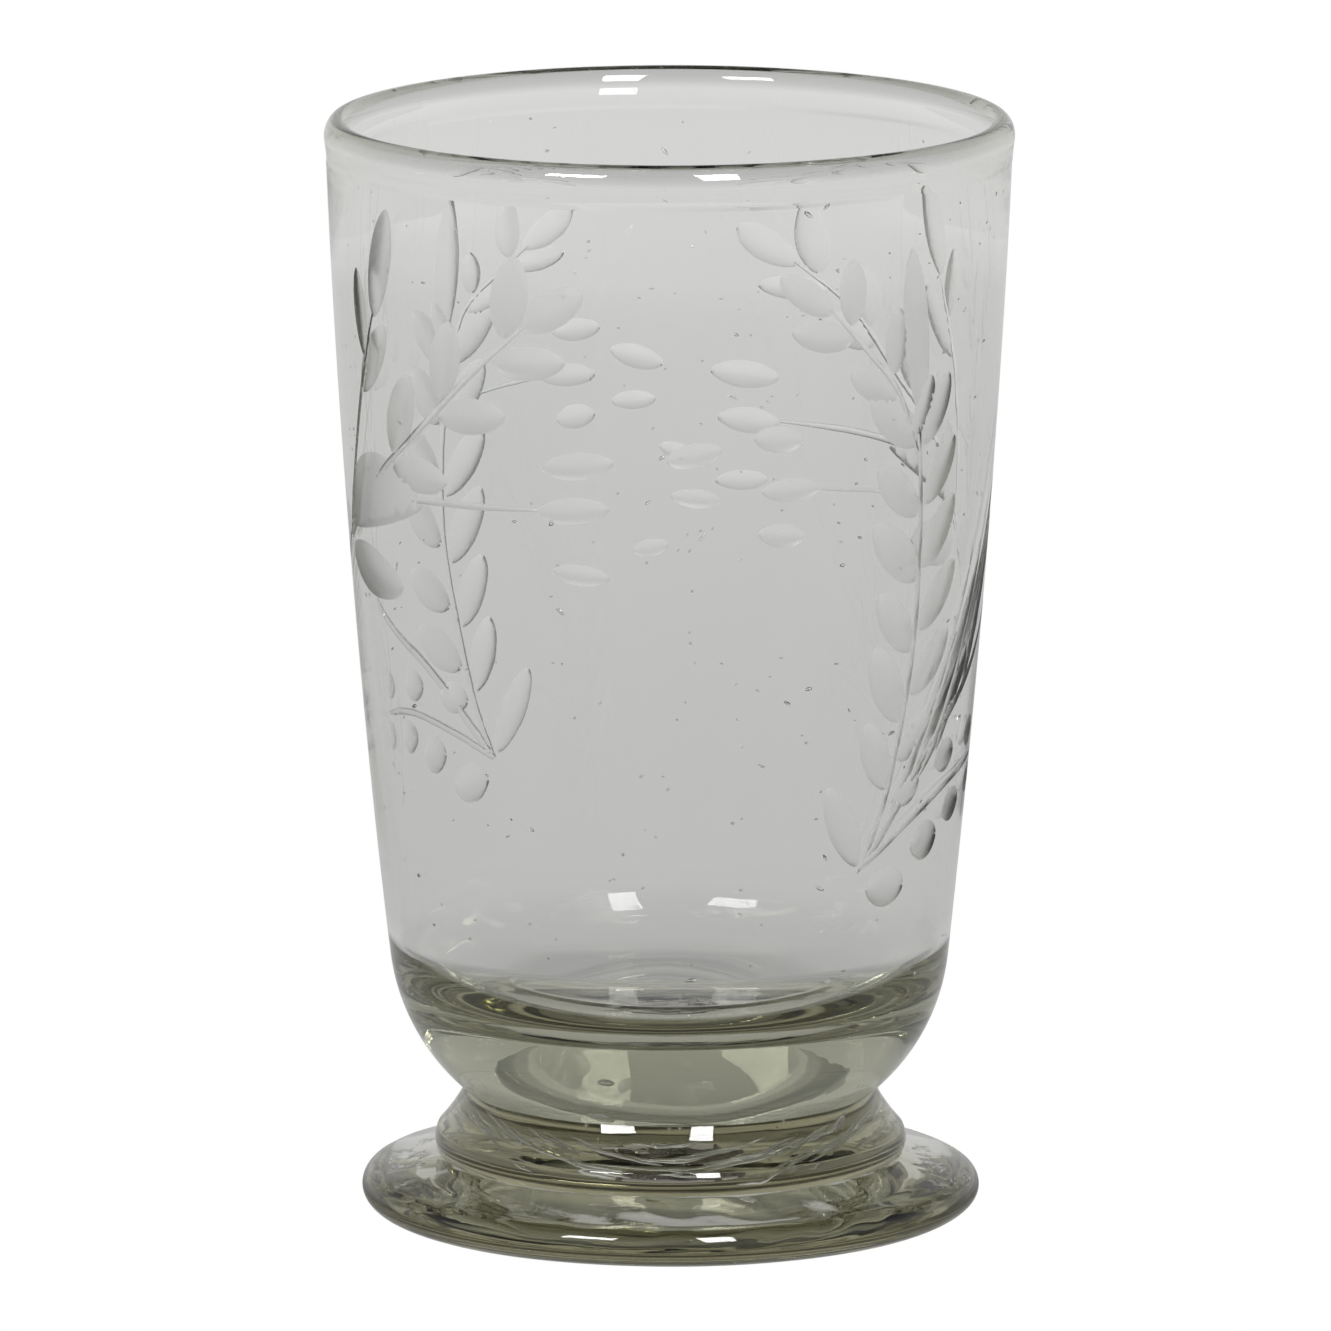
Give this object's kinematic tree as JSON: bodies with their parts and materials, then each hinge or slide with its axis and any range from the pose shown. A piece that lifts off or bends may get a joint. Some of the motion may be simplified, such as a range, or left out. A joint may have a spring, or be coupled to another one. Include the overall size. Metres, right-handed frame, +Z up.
{
  "type": "footed mixing glass",
  "caption": "Tall tapering glass cup with a rounded mouth bead and a wheel-cut leaf band, on a short collar and a thick round foot.",
  "frame": {"origin": "middle of the ring that the foot stands on, at table height", "axes": "+Z up through the middle of the mouth; the roots of the engraving's two sprays stand about 40 degrees and 218 degrees round +Z from the front, -Y, towards +X"},
  "size_m": [0.093, 0.093, 0.15],
  "materials": {
    "bowl_glass": "clear blown glass with a faint grey-olive tint, small seeds and satin wheel-cut engraving",
    "thick_glass": "solid glass of the same batch, olive-grey where it is thick, with soft tool marks",
    "rough_glass": "rough broken glass, dull and crackled"
  },
  "bodies": {
    "root": {"bowl": "bowl_glass", "collar": "thick_glass", "foot": "thick_glass", "pontil_mark": "rough_glass"}
  },
  "joints": []
}
